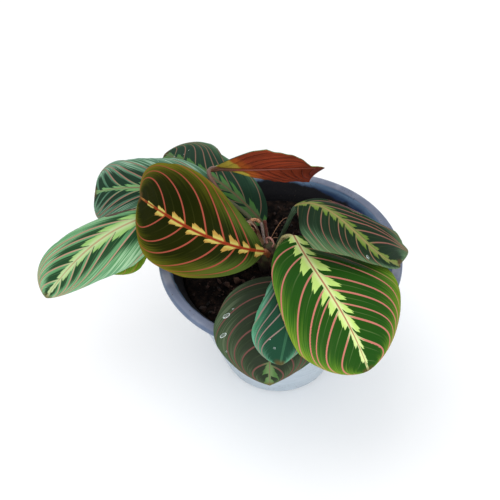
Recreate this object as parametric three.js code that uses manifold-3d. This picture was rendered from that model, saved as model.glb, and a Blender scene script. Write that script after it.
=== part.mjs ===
// A potted prayer plant: ten patterned leaves on one low crown, in soil, in a plastic pot.
// Millimetres, +Z up. The origin is the centre of the pot's foot and the front is towards -Y.
import * as THREE from 'three';
import { mergeVertices } from 'three/addons/utils/BufferGeometryUtils.js';
import Module from 'manifold-3d';

const wasm = await Module();
wasm.setup();

// Driving dimensions of the pot
const POT_HEIGHT = 102;
const RIM_RADIUS = 80;
const RIM_WIDTH = 6;
const RIM_THICKNESS = 4.5;
const RIM_UNDERCUT = 3;
const RIM_ROUNDING = 2.2;
const LIP_BEVEL = 1.2;
const CHAMFER_DEPTH = 10;
const CHAMFER_WIDTH = 7;
const FLARE_DROP = 4;
const NECK_STEP = 0.5;
const NECK_WALL = 2;
const FOOT_RADIUS = 38.5;
const FOOT_BEVEL = 1.5;
const WALL = 2.6;
const FLOOR_FILLET = 1;
const POT_SIDES = 56;

// Driving dimensions of the soil, whose top has long rolls crossed by short ripples
const SOIL_LEVEL = 89.5;
const SOIL_EDGE_DROP = 2.5;
const SOIL_EDGE_WIDTH = 2;
const SOIL_RINGS = 6;
const ROLL_HEIGHT = 1.3;
const ROLL_LENGTH = 7;
const ROLL_DRIFT = 1.3;
const RIPPLE_HEIGHT = 0.65;
const RIPPLE_LENGTH = 3.5;
const SEAT_GAP = 0.3;
const SLIVER = 0.02;

// Driving dimensions of the crown: its place, the radius and height of its profile, and its lobes
const CROWN_X = -7;
const CROWN_Y = 1;
const CROWN_PROFILE = [[0, 77], [6, 77], [7.5, 85], [7.6, 91], [7, 97], [5.6, 103], [3.6, 107], [0, 108.5]];
const CROWN_SIDES = 14;
const CROWN_LOBES = 3;
const LOBE_DEPTH = 0.09;
const LOBE_TWIST = 6;

// Driving dimensions of every leaf. A station is a share of the midrib's length from the blade's base.
const BLADE_THICKNESS = 0.7;
const LATERAL_VEINS = 9;
const HALF_COLUMNS = 5;
const QUILT = 0.45;
const MARGIN_WAVE = 0.8;
const MARGIN_WAVES = 3;
const WAVE_SHIFT = 2;
const WIDEST_STATION = 0.52;
const BASE_STATION = 0.42;
const BASE_NARROWING = 0.42;
const TIP_ROUNDING = 0.74;
const BASE_FULLNESS = 0.8;
const VEIN_FULLNESS = 0.9;
const BASE_SWEEP = 0.22;
const VEIN_SWEEP = 0.64;
const SWEEP_REACHED = 0.35;
const STALK_RADIUS = 1.5;
const STALK_STEP = 8;
const PULVINUS_RADIUS = 2.1;
const PULVINUS_LENGTH = 4;
const RIB_STATIONS = [0.06, 0.2, 0.38, 0.56, 0.74, 0.9];
const RIB_SHARE = 0.88;
const RIB_DEPTH = 0.75;
const RIB_TIP_DEPTH = 0.4;
const RIB_TIP_RADIUS = 0.5;
const RIB_STEPS = 16;
const STALK_SIDES = 6;

// Each leaf: four points that its midrib passes through, from the blade's base to its tip; its stalk's
// points from the crown to that base; the azimuth and elevation in degrees that the upper face looks
// towards, from base to tip; half the blade's width; the halves' factors on it; how far their margins
// lean towards the tip, as a share of it; the fold up from the midrib and the curl out to the margin,
// in degrees; and how full the base is and how blunt the tip.
// The left and right halves are those seen from the base, looking at the tip with the upper face up.
const LEAVES = {
  leaf_front_right: {
    rib: [[8, -11, 129], [22, -48, 135], [38, -73, 126], [55, -87, 92]],
    stalk: [[-3, 0, 101], [2, -3, 119]],
    face: [[-80, 60], [-80, 50]],
    width: 35, left: [1.3, 1.4, 1.45], right: [0.85, 1.08, 1.12],
    foldLeft: [-10, -6], foldRight: [9, 6], curlLeft: [-22], curlRight: [-22, -30],
    bluntness: 0.85, color: 0x3f7a35,
  },
  leaf_back_right: {
    rib: [[8, -2, 146], [30, -15, 154], [52, -30, 143], [74, -29, 124]],
    stalk: [[-4, 4, 99], [2, 5, 117]],
    face: [[-90, 74], [-75, 72], [-60, 64]],
    width: 32, left: [0.4, 0.65, 1, 1.05, 0.9], right: [0.85, 0.5, 0.26, 0.2],
    leanLeft: [0, 0.15, 0.45, 0.85, 1.1],
    foldLeft: [-30, -14, -4], foldRight: [-3, 6, 16], curlLeft: [-40, -25], curlRight: [-14, -4],
    bluntness: 0.42, color: 0x2c5346,
  },
  leaf_front_low: {
    rib: [[0, -28, 109], [-2, -56, 114], [-4, -80, 106], [-4, -93, 82]],
    stalk: [[-6, -3, 94], [-4, -15, 103]],
    face: [[-90, 60], [-90, 50]],
    width: 35, right: [0.96, 1.1, 1.14],
    foldLeft: [4], foldRight: [4], curlLeft: [-20], curlRight: [-20],
    color: 0x31473f,
  },
  leaf_front_middle: {
    rib: [[6, -23, 117], [8, -60, 124], [5, -81, 115], [2, -92, 101]],
    stalk: [[-4, -2, 97], [2, -11, 110]],
    face: [[-100, 60], [-100, 50]],
    width: 29, left: [1, 0.7, 0.35], right: [0.6, 0.8, 1.3],
    foldLeft: [0], foldRight: [0], curlLeft: [-25], curlRight: [-25],
    bluntness: 0.8, color: 0x2f6a5a,
  },
  leaf_centre: {
    rib: [[-10, -18, 121], [-36, -23, 133], [-63, -13, 139], [-92, 17, 132]],
    stalk: [[-8, -3, 101], [-8, -11, 112]],
    face: [[-90, 46], [-110, 40]],
    width: 32, left: [0.95, 1, 1], right: [0.95, 1.04, 1.1, 1.3],
    leanRight: [0, 0, 0.25, 0.8],
    foldLeft: [8], foldRight: [8], curlLeft: [-22], curlRight: [-22],
    widest: 0.6, fullness: 0.55, bluntness: 0.9, color: 0x3a3d1c,
  },
  leaf_far_left: {
    rib: [[-69, 20, 118], [-94, 8, 120], [-122, -8, 111], [-151, -33, 87]],
    stalk: [[-11, 0, 96], [-36, 5, 112]],
    face: [[-70, 55], [-50, 50]],
    width: 30, left: [0.9, 0.75, 0.7], right: [0.3, 0.65, 1.15],
    foldLeft: [0], foldRight: [5], curlLeft: [-30], curlRight: [-45],
    color: 0x4f8a68,
  },
  leaf_upper_left: {
    rib: [[-39, 30, 122], [-75, 30, 128], [-107, 36, 122], [-128, 43, 110]],
    stalk: [[-11, 5, 100], [-21, 18, 115]],
    face: [[-90, 75], [-100, 70], [-125, 62]],
    width: 32, left: [0.3, 0.6, 1.1], right: [0.95, 0.83, 0.92, 1.25],
    foldLeft: [5], foldRight: [5], curlLeft: [-45], curlRight: [-45],
    bluntness: 0.42, color: 0x2f5f50,
  },
  leaf_back_long: {
    rib: [[-11, 24, 103], [-34, 40, 118], [-57, 57, 122], [-84, 84, 112]],
    stalk: [[-7, 5, 96], [-9, 13, 102]],
    face: [[-100, 70], [-100, 66]],
    width: 31, left: [0.7, 0.7, 0.9], right: [0.75, 0.72, 1.2, 1.55],
    foldLeft: [0], foldRight: [0, -12, -2], curlLeft: [-35], curlRight: [-35],
    color: 0x2b5547,
  },
  leaf_back_folded: {
    rib: [[-45, 42, 138], [-22, 40, 139], [5, 43, 138], [28, 55, 128]],
    stalk: [
      [-11, 0, 99], [-16, -3, 113], [-27, 3, 129],
      [-37, 12, 138], [-45, 21, 144], [-48, 32, 143],
    ],
    face: [[90, 24], [90, 24]],
    width: 27, left: [0.65, 0.7, 0.85, 1.2, 1.4], right: [1.45, 0.75, 0.15, 0.1],
    leanLeft: [0, 0.1, 0.3, 0.6, 0.6],
    foldLeft: [0], foldRight: [0], curlLeft: [-10], curlRight: [-10],
    fullness: 0.25, bluntness: 0.6, color: 0x8c4430,
  },
  leaf_left_low: {
    rib: [[-78, 27, 107], [-92, 11, 107], [-105, -3, 101], [-115, -10, 88]],
    stalk: [[-11, -1, 91], [-40, 9, 105]],
    face: [[-100, 50], [-80, 50]],
    width: 24, left: [0.5, 0.8, 1], right: [0.6, 0.7, 0.8],
    foldLeft: [0], foldRight: [0], curlLeft: [-30], curlRight: [-30],
    color: 0x6b7b3a,
  },
};

// A dried sheath that stands on the crown: a small cupped blade with no stalk, in a leaf's terms
const SHEATH = {
  rib: [[-11, 4, 104], [-14, 6, 109], [-17, 8, 114], [-21, 9, 118]],
  face: [[-80, 20], [-60, 20]],
  width: 4,
  foldLeft: [20], foldRight: [20], curlLeft: [50], curlRight: [50],
  quilt: 0, wave: 0, color: 0xb59a72,
};

// Value of a list spread evenly over 0..1, straight between its entries
function along(list, x) {
  const place = THREE.MathUtils.clamp(x, 0, 1) * (list.length - 1);
  const first = Math.min(Math.floor(place), Math.max(list.length - 2, 0));
  const next = Math.min(first + 1, list.length - 1);
  return THREE.MathUtils.lerp(list[first], list[next], place - first);
}

// Unit vector from an azimuth and an elevation in degrees
function direction([azimuth, elevation]) {
  const around = THREE.MathUtils.degToRad(azimuth);
  const up = THREE.MathUtils.degToRad(elevation);
  return new THREE.Vector3(Math.cos(up) * Math.cos(around), Math.cos(up) * Math.sin(around), Math.sin(up));
}

// Cubic curve through four points, at 0, 1/3, 2/3 and 1 of its parameter
function curveThrough(points) {
  const [a, b, c, d] = points.map((point) => new THREE.Vector3(...point));
  const mix = (wa, wb, wc, wd) => new THREE.Vector3()
    .addScaledVector(a, wa).addScaledVector(b, wb).addScaledVector(c, wc).addScaledVector(d, wd)
    .divideScalar(6);
  return new THREE.CubicBezierCurve3(a, mix(-5, 18, -9, 2), mix(2, -9, 18, -5), d);
}

// Outline of a leaf as a share of its half width, at a station
function outline(station, widest, bluntness) {
  if (station > widest) {
    const beyond = (station - widest) / (1 - widest);
    return Math.pow(Math.max(1 - beyond * beyond, 0), TIP_ROUNDING * bluntness);
  }
  const before = (widest - station) / widest;
  return 1 - BASE_NARROWING * before * before;
}

// The blade's middle surface. t runs from the base to the tip and v across, from -1 at the left margin
// to 1 at the right. A line of one t is the way of a lateral vein: it leaves the midrib at t, swings
// towards the tip and ends on the margin. The line t = 0 is the blade's rear margin.
function bladeSurface(leaf) {
  const rib = curveThrough(leaf.rib);
  const faces = leaf.face.map(direction);
  const axes = ['x', 'y', 'z'].map((axis) => faces.map((face) => face[axis]));
  const left = leaf.left ?? [1];
  const right = leaf.right ?? [1];
  const fullness = leaf.fullness ?? BASE_FULLNESS;

  return (t, v) => {
    const out = Math.abs(v);
    const isLeft = v < 0;
    const end = THREE.MathUtils.lerp(BASE_STATION, 1, t);
    const reach = leaf.width * outline(end, leaf.widest ?? WIDEST_STATION, leaf.bluntness ?? 1);
    const swing = THREE.MathUtils.smoothstep(t, 0, SWEEP_REACHED);
    const middleStation = t + THREE.MathUtils.lerp(BASE_SWEEP, VEIN_SWEEP, swing) * (end - t);
    const middleReach = THREE.MathUtils.lerp(fullness, VEIN_FULLNESS, swing) * reach;
    const near = (1 - out) * (1 - out);
    const middle = 2 * out * (1 - out);
    const station = near * t + middle * middleStation + out * out * end;
    const sideways = (middle * middleReach + out * out * reach) * along(isLeft ? left : right, t);

    const centre = rib.getPointAt(station);
    const ahead = rib.getTangentAt(station);
    const up = new THREE.Vector3(...axes.map((values) => along(values, station)));
    up.addScaledVector(ahead, -up.dot(ahead)).normalize();
    const across = ahead.clone().cross(up);

    const fold = THREE.MathUtils.degToRad(along(isLeft ? leaf.foldLeft : leaf.foldRight, station));
    const curl = THREE.MathUtils.degToRad(along(isLeft ? leaf.curlLeft : leaf.curlRight, station));
    const bend = (curl === 0 ? 0.001 : curl) / leaf.width;
    const turned = fold + bend * sideways;
    const flat = (Math.sin(turned) - Math.sin(fold)) / bend;
    const lift = (Math.cos(fold) - Math.cos(turned)) / bend;

    const ripple = Math.cos(2 * Math.PI * LATERAL_VEINS * t) * Math.sin(Math.PI * out) * (1 - t * t);
    const phase = 2 * Math.PI * MARGIN_WAVES * station + (isLeft ? 0 : WAVE_SHIFT);
    const wave = Math.sin(phase) * Math.sin(Math.PI * station) * out * out * out;
    const raised = lift + (leaf.quilt ?? QUILT) * ripple + (leaf.wave ?? MARGIN_WAVE) * wave;
    const lean = along((isLeft ? leaf.leanLeft : leaf.leanRight) ?? [0], t) * out * sideways;
    centre.addScaledVector(across, isLeft ? -flat : flat).addScaledVector(ahead, lean);
    return centre.addScaledVector(up, raised);
  };
}

// Solid between the surface's grid moved half a thickness up and half down. Both faces are split along
// the same diagonals, the side walls close them, and the tip is one point on each face.
function bladeGeometry(leaf) {
  const surface = bladeSurface(leaf);
  const rows = 2 * LATERAL_VEINS;
  const columns = 2 * HALF_COLUMNS;
  const nudge = 0.001;
  const lastNormal = 0.98;
  const pairs = [];
  for (let row = 0; row <= rows; row += 1) {
    const t = row / rows;
    const pair = [];
    for (let column = 0; column <= columns; column += 1) {
      const v = (column - HALF_COLUMNS) / HALF_COLUMNS;
      const inner = Math.min(t, lastNormal);
      const alongVein = surface(inner, Math.min(v + nudge, 1)).sub(surface(inner, Math.max(v - nudge, -1)));
      const alongRib = surface(inner + nudge, v).sub(surface(Math.max(inner - nudge, 0), v));
      const normal = alongVein.cross(alongRib).normalize().multiplyScalar(BLADE_THICKNESS / 2);
      const point = surface(t, v);
      pair.push([point.clone().add(normal), point.clone().sub(normal)]);
    }
    pairs.push(pair);
  }
  // The tip row is one place, so its middle pair stands for the whole row
  const tip = pairs[rows][HALF_COLUMNS];
  pairs[rows] = pairs[rows].map(() => tip);

  const positions = [];
  const triangle = (a, b, c) => {
    if (a !== b && b !== c && a !== c) {
      positions.push(...a.toArray(), ...b.toArray(), ...c.toArray());
    }
  };
  for (let row = 0; row < rows; row += 1) {
    for (let column = 0; column < columns; column += 1) {
      const [a, b] = [pairs[row][column], pairs[row][column + 1]];
      const [d, c] = [pairs[row + 1][column], pairs[row + 1][column + 1]];
      triangle(a[0], b[0], c[0]);
      triangle(a[0], c[0], d[0]);
      triangle(a[1], c[1], b[1]);
      triangle(a[1], d[1], c[1]);
    }
    const wall = (p, q) => {
      triangle(p[0], q[0], q[1]);
      triangle(p[0], q[1], p[1]);
    };
    wall(pairs[row][0], pairs[row + 1][0]);
    wall(pairs[row + 1][columns], pairs[row][columns]);
  }
  for (let column = 0; column < columns; column += 1) {
    const [p, q] = [pairs[0][column], pairs[0][column + 1]];
    triangle(p[0], p[1], q[1]);
    triangle(p[0], q[1], q[0]);
  }
  const geometry = new THREE.BufferGeometry();
  geometry.setAttribute('position', new THREE.Float32BufferAttribute(positions, 3));
  return geometry;
}

// Round bar along a curve, with its radius given by a function of the share of its length
function barGeometry(curve, steps, sides, radiusAt) {
  const profile = [new THREE.Vector2(0, 0)];
  for (let i = 0; i <= steps; i += 1) {
    profile.push(new THREE.Vector2(1, i));
  }
  profile.push(new THREE.Vector2(0, steps));
  const geometry = new THREE.LatheGeometry(profile, sides);
  const frames = curve.computeFrenetFrames(steps, false);
  const position = geometry.getAttribute('position');
  for (let i = 0; i < position.count; i += 1) {
    const level = Math.round(position.getY(i));
    const share = level / steps;
    const radius = radiusAt(share);
    const point = curve.getPointAt(share)
      .addScaledVector(frames.normals[level], position.getX(i) * radius)
      .addScaledVector(frames.binormals[level], -position.getZ(i) * radius);
    position.setXYZ(i, ...point.toArray());
  }
  return geometry;
}

// Stalk, swollen joint and midrib as one tapering bar, which ends under the blade near its tip
function stalkGeometry(leaf) {
  const rib = curveThrough(leaf.rib);
  const surface = bladeSurface(leaf);
  const underside = RIB_STATIONS.map((station) => {
    const [left, right] = [surface(station, -0.02), surface(station, 0.02)];
    const ahead = rib.getTangentAt(station);
    const up = right.sub(left).cross(ahead).normalize();
    const depth = THREE.MathUtils.lerp(RIB_DEPTH, RIB_TIP_DEPTH, station);
    return surface(station, 0).addScaledVector(up, -depth);
  });
  const stalk = leaf.stalk.map((point) => new THREE.Vector3(...point));
  const curve = new THREE.CatmullRomCurve3([...stalk, ...underside]);
  curve.arcLengthDivisions = 400;
  const length = curve.getLength();
  const ribLength = rib.getLength() * RIB_SHARE;
  const baseShare = 1 - ribLength / length;
  const radiusAt = (share) => {
    if (share > baseShare) {
      const beyond = (share - baseShare) / (1 - baseShare);
      return THREE.MathUtils.lerp(STALK_RADIUS, RIB_TIP_RADIUS, Math.sqrt(beyond));
    }
    const before = (baseShare - share) * length;
    const swelling = Math.exp(-Math.pow(before / PULVINUS_LENGTH - 1, 2));
    return STALK_RADIUS + (PULVINUS_RADIUS - STALK_RADIUS) * swelling;
  };
  const steps = RIB_STEPS + Math.round((length - ribLength) / STALK_STEP);
  return barGeometry(curve, steps, STALK_SIDES, radiusAt);
}

// Low crown of stem bases and sheaths, with lobes round it, grown by a clearance where one is given
function crownGeometry(clearance) {
  const points = CROWN_PROFILE.map(([radius, height]) => new THREE.Vector2(radius, height));
  const geometry = new THREE.LatheGeometry(points, CROWN_SIDES).rotateX(Math.PI / 2);
  const position = geometry.getAttribute('position');
  const [foot, top] = [CROWN_PROFILE[0][1], CROWN_PROFILE.at(-1)[1]];
  const middle = (foot + top) / 2;
  const stretch = 1 + 2 * clearance / (top - foot);
  for (let i = 0; i < position.count; i += 1) {
    const [x, y, z] = [position.getX(i), position.getY(i), position.getZ(i)];
    const radius = Math.hypot(x, y);
    const lobes = 1 + LOBE_DEPTH * Math.sin(CROWN_LOBES * Math.atan2(y, x) + z / LOBE_TWIST);
    const grown = lobes + clearance / Math.max(radius, clearance + 1);
    position.setXYZ(i, CROWN_X + x * grown, CROWN_Y + y * grown, middle + (z - middle) * stretch);
  }
  return geometry;
}

// Radius of the pot's inner wall at a height between its floor and its flare
function cavityRadius(height) {
  const floor = WALL + FLOOR_FILLET;
  const flare = POT_HEIGHT - CHAMFER_DEPTH - FLARE_DROP;
  const neck = RIM_RADIUS - RIM_WIDTH - CHAMFER_WIDTH + NECK_STEP - NECK_WALL;
  return THREE.MathUtils.mapLinear(height, floor, flare, FOOT_RADIUS - WALL, neck);
}

// Turned body from a profile of radii and heights
function turnedGeometry(profile) {
  const points = profile.map(([radius, height]) => new THREE.Vector2(radius, height));
  return new THREE.LatheGeometry(points, POT_SIDES).rotateX(Math.PI / 2);
}

// Plastic pot turned round its axis: a tapered wall, a rounded rim and a chamfer inside it
function potGeometry() {
  const lip = RIM_RADIUS - RIM_WIDTH;
  const neck = lip - CHAMFER_WIDTH;
  const neckHeight = POT_HEIGHT - CHAMFER_DEPTH;
  const flareHeight = neckHeight - FLARE_DROP;
  const rimFoot = POT_HEIGHT - RIM_THICKNESS;
  const floor = WALL + FLOOR_FILLET;
  const corner = RIM_ROUNDING * (1 - Math.SQRT1_2);
  return turnedGeometry([
    [0, 0],
    [FOOT_RADIUS - FOOT_BEVEL, 0],
    [FOOT_RADIUS, FOOT_BEVEL],
    [neck + NECK_STEP, flareHeight],
    [RIM_RADIUS - RIM_UNDERCUT, rimFoot - corner],
    [RIM_RADIUS - corner, rimFoot],
    [RIM_RADIUS, POT_HEIGHT - RIM_ROUNDING],
    [RIM_RADIUS - corner, POT_HEIGHT - corner],
    [RIM_RADIUS - RIM_ROUNDING, POT_HEIGHT],
    [lip, POT_HEIGHT],
    [lip - LIP_BEVEL, POT_HEIGHT - LIP_BEVEL],
    [neck, neckHeight],
    [cavityRadius(flareHeight), flareHeight],
    [cavityRadius(floor), floor],
    [cavityRadius(floor) - FLOOR_FILLET, WALL],
    [0, WALL],
  ]);
}

// Soil filling the pot, a seat gap off its floor and wall, with an uneven top
function soilGeometry() {
  const floor = WALL + FLOOR_FILLET;
  const edge = SOIL_LEVEL - SOIL_EDGE_DROP;
  const topRadius = cavityRadius(edge) - SOIL_EDGE_WIDTH;
  const profile = [
    [0, WALL + SEAT_GAP],
    [cavityRadius(floor) - FLOOR_FILLET - SEAT_GAP, WALL + SEAT_GAP],
    [cavityRadius(floor) - SEAT_GAP, floor + SEAT_GAP],
    [cavityRadius(edge) - SEAT_GAP, edge],
  ];
  for (let ring = SOIL_RINGS; ring >= 0; ring -= 1) {
    profile.push([topRadius * ring / SOIL_RINGS, SOIL_LEVEL]);
  }
  const geometry = turnedGeometry(profile);
  const position = geometry.getAttribute('position');
  for (let i = 0; i < position.count; i += 1) {
    const [x, y, z] = [position.getX(i), position.getY(i), position.getZ(i)];
    if (z > edge + 1) {
      const drift = ROLL_DRIFT * Math.sin(y / ROLL_LENGTH);
      const roll = ROLL_HEIGHT * Math.sin(x / ROLL_LENGTH + drift) * Math.cos(y / ROLL_LENGTH);
      const ripple = RIPPLE_HEIGHT * Math.sin((x - y) / RIPPLE_LENGTH);
      position.setZ(i, z + roll + ripple);
    }
  }
  return geometry;
}

// Closed geometry as a solid for cutting and joining
function solidOf(geometry) {
  geometry.deleteAttribute('normal');
  geometry.deleteAttribute('uv');
  const merged = mergeVertices(geometry, 0.0001);
  const index = [];
  for (let i = 0; i < merged.index.count; i += 3) {
    const [a, b, c] = [merged.index.getX(i), merged.index.getX(i + 1), merged.index.getX(i + 2)];
    if (a !== b && b !== c && a !== c) {
      index.push(a, b, c);
    }
  }
  const vertices = Float32Array.from(merged.getAttribute('position').array);
  return new wasm.Manifold(new wasm.Mesh({
    numProp: 3, vertProperties: vertices, triVerts: Uint32Array.from(index),
  }));
}

// The largest loose piece of a solid, without the scraps and the slivers that a cut left
function largestPiece(solid) {
  const [largest] = solid.decompose().sort((a, b) => b.volume() - a.volume());
  return largest.asOriginal().simplify(SLIVER);
}

// Named mesh of a solid in its material
function meshOf(name, solid, material) {
  const { vertProperties, triVerts } = solid.getMesh();
  const geometry = new THREE.BufferGeometry();
  geometry.setAttribute('position', new THREE.BufferAttribute(vertProperties, 3));
  geometry.setIndex(new THREE.BufferAttribute(triVerts, 1));
  geometry.computeVertexNormals();
  const mesh = new THREE.Mesh(geometry, new THREE.MeshStandardMaterial({ metalness: 0, ...material }));
  mesh.name = name;
  return mesh;
}

const plant = new THREE.Group();

plant.add(meshOf('pot', solidOf(potGeometry()), { color: 0x8e9bb0, roughness: 0.4 }));

const crownSpace = solidOf(crownGeometry(SEAT_GAP));
const soil = solidOf(soilGeometry()).subtract(crownSpace);
plant.add(meshOf('soil', largestPiece(soil), { color: 0x1b1512, roughness: 0.95 }));
plant.add(meshOf('crown', solidOf(crownGeometry(0)), { color: 0x5a3b22, roughness: 0.7 }));

for (const [name, leaf] of Object.entries(LEAVES)) {
  const blade = solidOf(bladeGeometry(leaf));
  const stalk = solidOf(stalkGeometry(leaf));
  const whole = largestPiece(blade.add(stalk).subtract(crownSpace));
  plant.add(meshOf(name, whole, { color: leaf.color, roughness: 0.5 }));
}

const sheath = largestPiece(solidOf(bladeGeometry(SHEATH)).subtract(crownSpace));
plant.add(meshOf('dry_sheath', sheath, { color: SHEATH.color, roughness: 0.8 }));

export default plant;
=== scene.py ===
"""A young prayer plant in a round plastic nursery pot: its looks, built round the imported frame."""
import math

import bpy
import numpy as np
from mathutils import Matrix, Vector, noise


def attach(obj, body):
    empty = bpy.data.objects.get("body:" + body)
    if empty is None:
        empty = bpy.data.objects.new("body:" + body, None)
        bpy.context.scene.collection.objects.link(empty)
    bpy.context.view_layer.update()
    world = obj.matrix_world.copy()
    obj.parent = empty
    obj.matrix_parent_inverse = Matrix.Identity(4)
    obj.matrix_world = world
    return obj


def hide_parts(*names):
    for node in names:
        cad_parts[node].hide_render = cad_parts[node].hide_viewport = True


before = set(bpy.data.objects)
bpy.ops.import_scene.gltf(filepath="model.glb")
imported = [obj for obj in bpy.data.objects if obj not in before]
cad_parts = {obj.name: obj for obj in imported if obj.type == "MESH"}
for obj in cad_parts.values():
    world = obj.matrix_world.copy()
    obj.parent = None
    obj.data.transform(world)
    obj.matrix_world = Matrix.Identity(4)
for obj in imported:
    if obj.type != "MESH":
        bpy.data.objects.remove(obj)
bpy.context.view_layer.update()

# The camera looks down at the pot's rim from the front at about 46 degrees, 650 mm from its centre.
# It is a long lens, turned a little so that the plant sits left of the middle as in the photograph.
camera_data = bpy.data.cameras.new("camera")
camera_data.sensor_width = 36
camera_data.lens = 71.3
camera_data.clip_start = 0.05
camera = bpy.data.objects.new("camera", camera_data)
bpy.context.scene.collection.objects.link(camera)
camera.location = (0, -0.4515, 0.5696)
camera.rotation_euler = [math.radians(angle) for angle in (44.098, 0.083, 2.444)]
bpy.context.scene.camera = camera
bpy.context.scene.view_settings.view_transform = "Standard"


# The floor is one wide pale sheet of matt card. It isn't part of the plant.
# It is the first piece with a finish, and every finish is put together from these two classes.
def reckoned(operation, reflected=False):
    """A method of a wire that adds one Math node, with the wire as its first or last value"""
    def method(self, *others):
        values = (*others, self) if reflected else (self, *others)
        return self.finish.add("Math", {"operation": operation}, dict(enumerate(values)))

    return method


class Wire:
    """One output of a shader's node. Sums written with it add Math nodes to its finish."""

    def __init__(self, finish, socket):
        self.finish = finish
        self.socket = socket

    __add__, __radd__ = reckoned("ADD"), reckoned("ADD", True)
    __sub__, __rsub__ = reckoned("SUBTRACT"), reckoned("SUBTRACT", True)
    __mul__, __rmul__ = reckoned("MULTIPLY"), reckoned("MULTIPLY", True)
    __pow__, __mod__, __abs__ = reckoned("POWER"), reckoned("FLOORED_MODULO"), reckoned("ABSOLUTE")
    most, least = reckoned("MAXIMUM"), reckoned("MINIMUM")

    def step(self, low, high):
        """0 at low and 1 at high, smooth between them. It falls where low is the larger."""
        settings = {"interpolation_type": "SMOOTHSTEP"}
        return self.finish.add("MapRange", settings, {"Value": self, "From Min": low, "From Max": high})


class Finish:
    """A procedural material. add() makes any node: its settings first, then its sockets."""

    def __init__(self, name):
        self.material = bpy.data.materials.new(name)
        self.material.use_nodes = True
        self.tree = self.material.node_tree
        self.shader = self.tree.nodes["Principled BSDF"]

    def add(self, kind, settings, sockets, output=0):
        node = self.tree.nodes.new("ShaderNode" + kind)
        for name, value in settings.items():
            setattr(node, name, value)
        for name, value in sockets.items():
            self.feed(node.inputs[name], value)
        return Wire(self, node.outputs[output])

    def feed(self, socket, value):
        """Links a wire or sets a value. A colour is given as on a screen, from 0 to 255."""
        if isinstance(value, Wire):
            self.tree.links.new(value.socket, socket)
        else:
            socket.default_value = tint(*value) if socket.type == "RGBA" else value

    def surface(self, **sockets):
        """The finished material, with the shader's sockets by name"""
        for name, value in sockets.items():
            self.feed(self.shader.inputs[name.replace("_", " ")], value)
        return self.material

    def objects_own(self):
        return self.add("TexCoord", {}, {}, "Object")

    def split(self, vector):
        node = self.add("SeparateXYZ", {}, {0: vector}).socket.node
        return [Wire(self, output) for output in node.outputs]

    def own_map(self, name):
        """The two values of the piece's UV map of that name"""
        return self.split(self.add("UVMap", {"uv_map": name}, {}))[:2]

    def own_value(self, name):
        return self.add("Attribute", {"attribute_name": name}, {}, "Fac")

    def noise(self, vector, scale, detail=2.0):
        return self.add("TexNoise", {}, {"Vector": vector, "Scale": scale, "Detail": detail})

    def noise_over(self, x, y, z, scale=1.0, detail=2.0):
        """Noise over three values, each stretched as it is given"""
        return self.noise(self.add("CombineXYZ", {}, {"X": x, "Y": y, "Z": z}), scale, detail)

    def mix(self, factor, first, second):
        return self.add("Mix", {"data_type": "RGBA"}, {0: factor, 6: first, 7: second}, 2)

    def layered(self, colour, *coats):
        """A colour under coats of others, each a factor and its colour"""
        for factor, coat in coats:
            colour = self.mix(factor, colour, coat)
        return colour

    def bump(self, height, distance):
        return self.add("Bump", {}, {"Height": height, "Distance": distance}, "Normal")


def tint(*screen_values):
    """A screen colour as linear values, with full cover"""
    values = [value / 255 for value in screen_values]
    return (*[value / 12.92 if value < 0.04 else ((value + 0.055) / 1.055) ** 2.4 for value in values], 1)


def shaded(colour, share):
    """A screen colour made deeper, or paler where the share is over 1"""
    return [value * share for value in colour]


def select(*pieces):
    """These pieces alone, with the first as the active one"""
    bpy.ops.object.select_all(action="DESELECT")
    for piece in reversed(pieces):
        piece.select_set(True)
        bpy.context.view_layer.objects.active = piece


def added(name, operator, **settings):
    """A new primitive, alone in the selection"""
    select()
    operator(**settings)
    piece = bpy.context.object
    piece.name = piece.data.name = name
    return piece


FLOOR_WIDTH = 8
floor = added("floor", bpy.ops.mesh.primitive_plane_add, size=FLOOR_WIDTH)
card = Finish("pale_card")
mottle = card.noise(card.objects_own(), 30)
card_colour = card.mix(mottle, (251, 251, 251), (253, 253, 253))
floor.data.materials.append(card.surface(Base_Color=card_colour, Roughness=0.9))

# The light is a white room, a wide lamp above to the left and a lower one in front.
# Both lamps are square and soft.
room = bpy.data.worlds.new("room")
bpy.context.scene.world = room
room.use_nodes = True
room.node_tree.nodes["Background"].inputs["Color"].default_value = (0.97, 0.985, 1.0, 1)
room.node_tree.nodes["Background"].inputs["Strength"].default_value = 0.88


def lamp(name, place, aim, size, power):
    data = bpy.data.lights.new(name, "AREA")
    data.size = size
    data.energy = power
    lamp_object = bpy.data.objects.new(name, data)
    bpy.context.scene.collection.objects.link(lamp_object)
    lamp_object.location = place
    lamp_object.rotation_euler = (Vector(aim) - Vector(place)).to_track_quat("-Z", "Y").to_euler()


lamp("lamp_above", place=(-0.6, 0.3, 1.6), aim=(0, 0, 0.1), size=1.6, power=8)
lamp("lamp_front", place=(0.2, -1.5, 0.5), aim=(0, 0, 0.03), size=1.0, power=12)


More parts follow.
